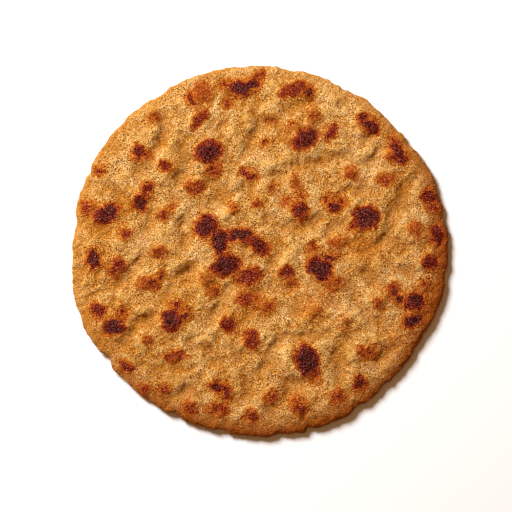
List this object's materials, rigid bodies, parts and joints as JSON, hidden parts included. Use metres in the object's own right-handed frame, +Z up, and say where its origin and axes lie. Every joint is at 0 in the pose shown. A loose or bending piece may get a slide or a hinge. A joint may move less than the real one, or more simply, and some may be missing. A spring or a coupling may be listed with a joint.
{
  "type": "chapati flatbread",
  "caption": "Round whole-wheat flatbread with scorched blisters, rolled folds, a craggy rounded rim and a griddle-flat underside.",
  "frame": {"origin": "middle of the bounding box's underside: the point on the table under the middle of the bread", "axes": "+Z up, out of the blistered upper face; +X to the right and +Y away as the bread is seen from above"},
  "size_m": [0.1794, 0.1778, 0.008],
  "materials": {
    "crust": "dry matt crust of baked whole-wheat dough, golden to tan, with dark brown scorched blisters"
  },
  "bodies": {
    "root": {"chapati": "crust"}
  },
  "joints": []
}
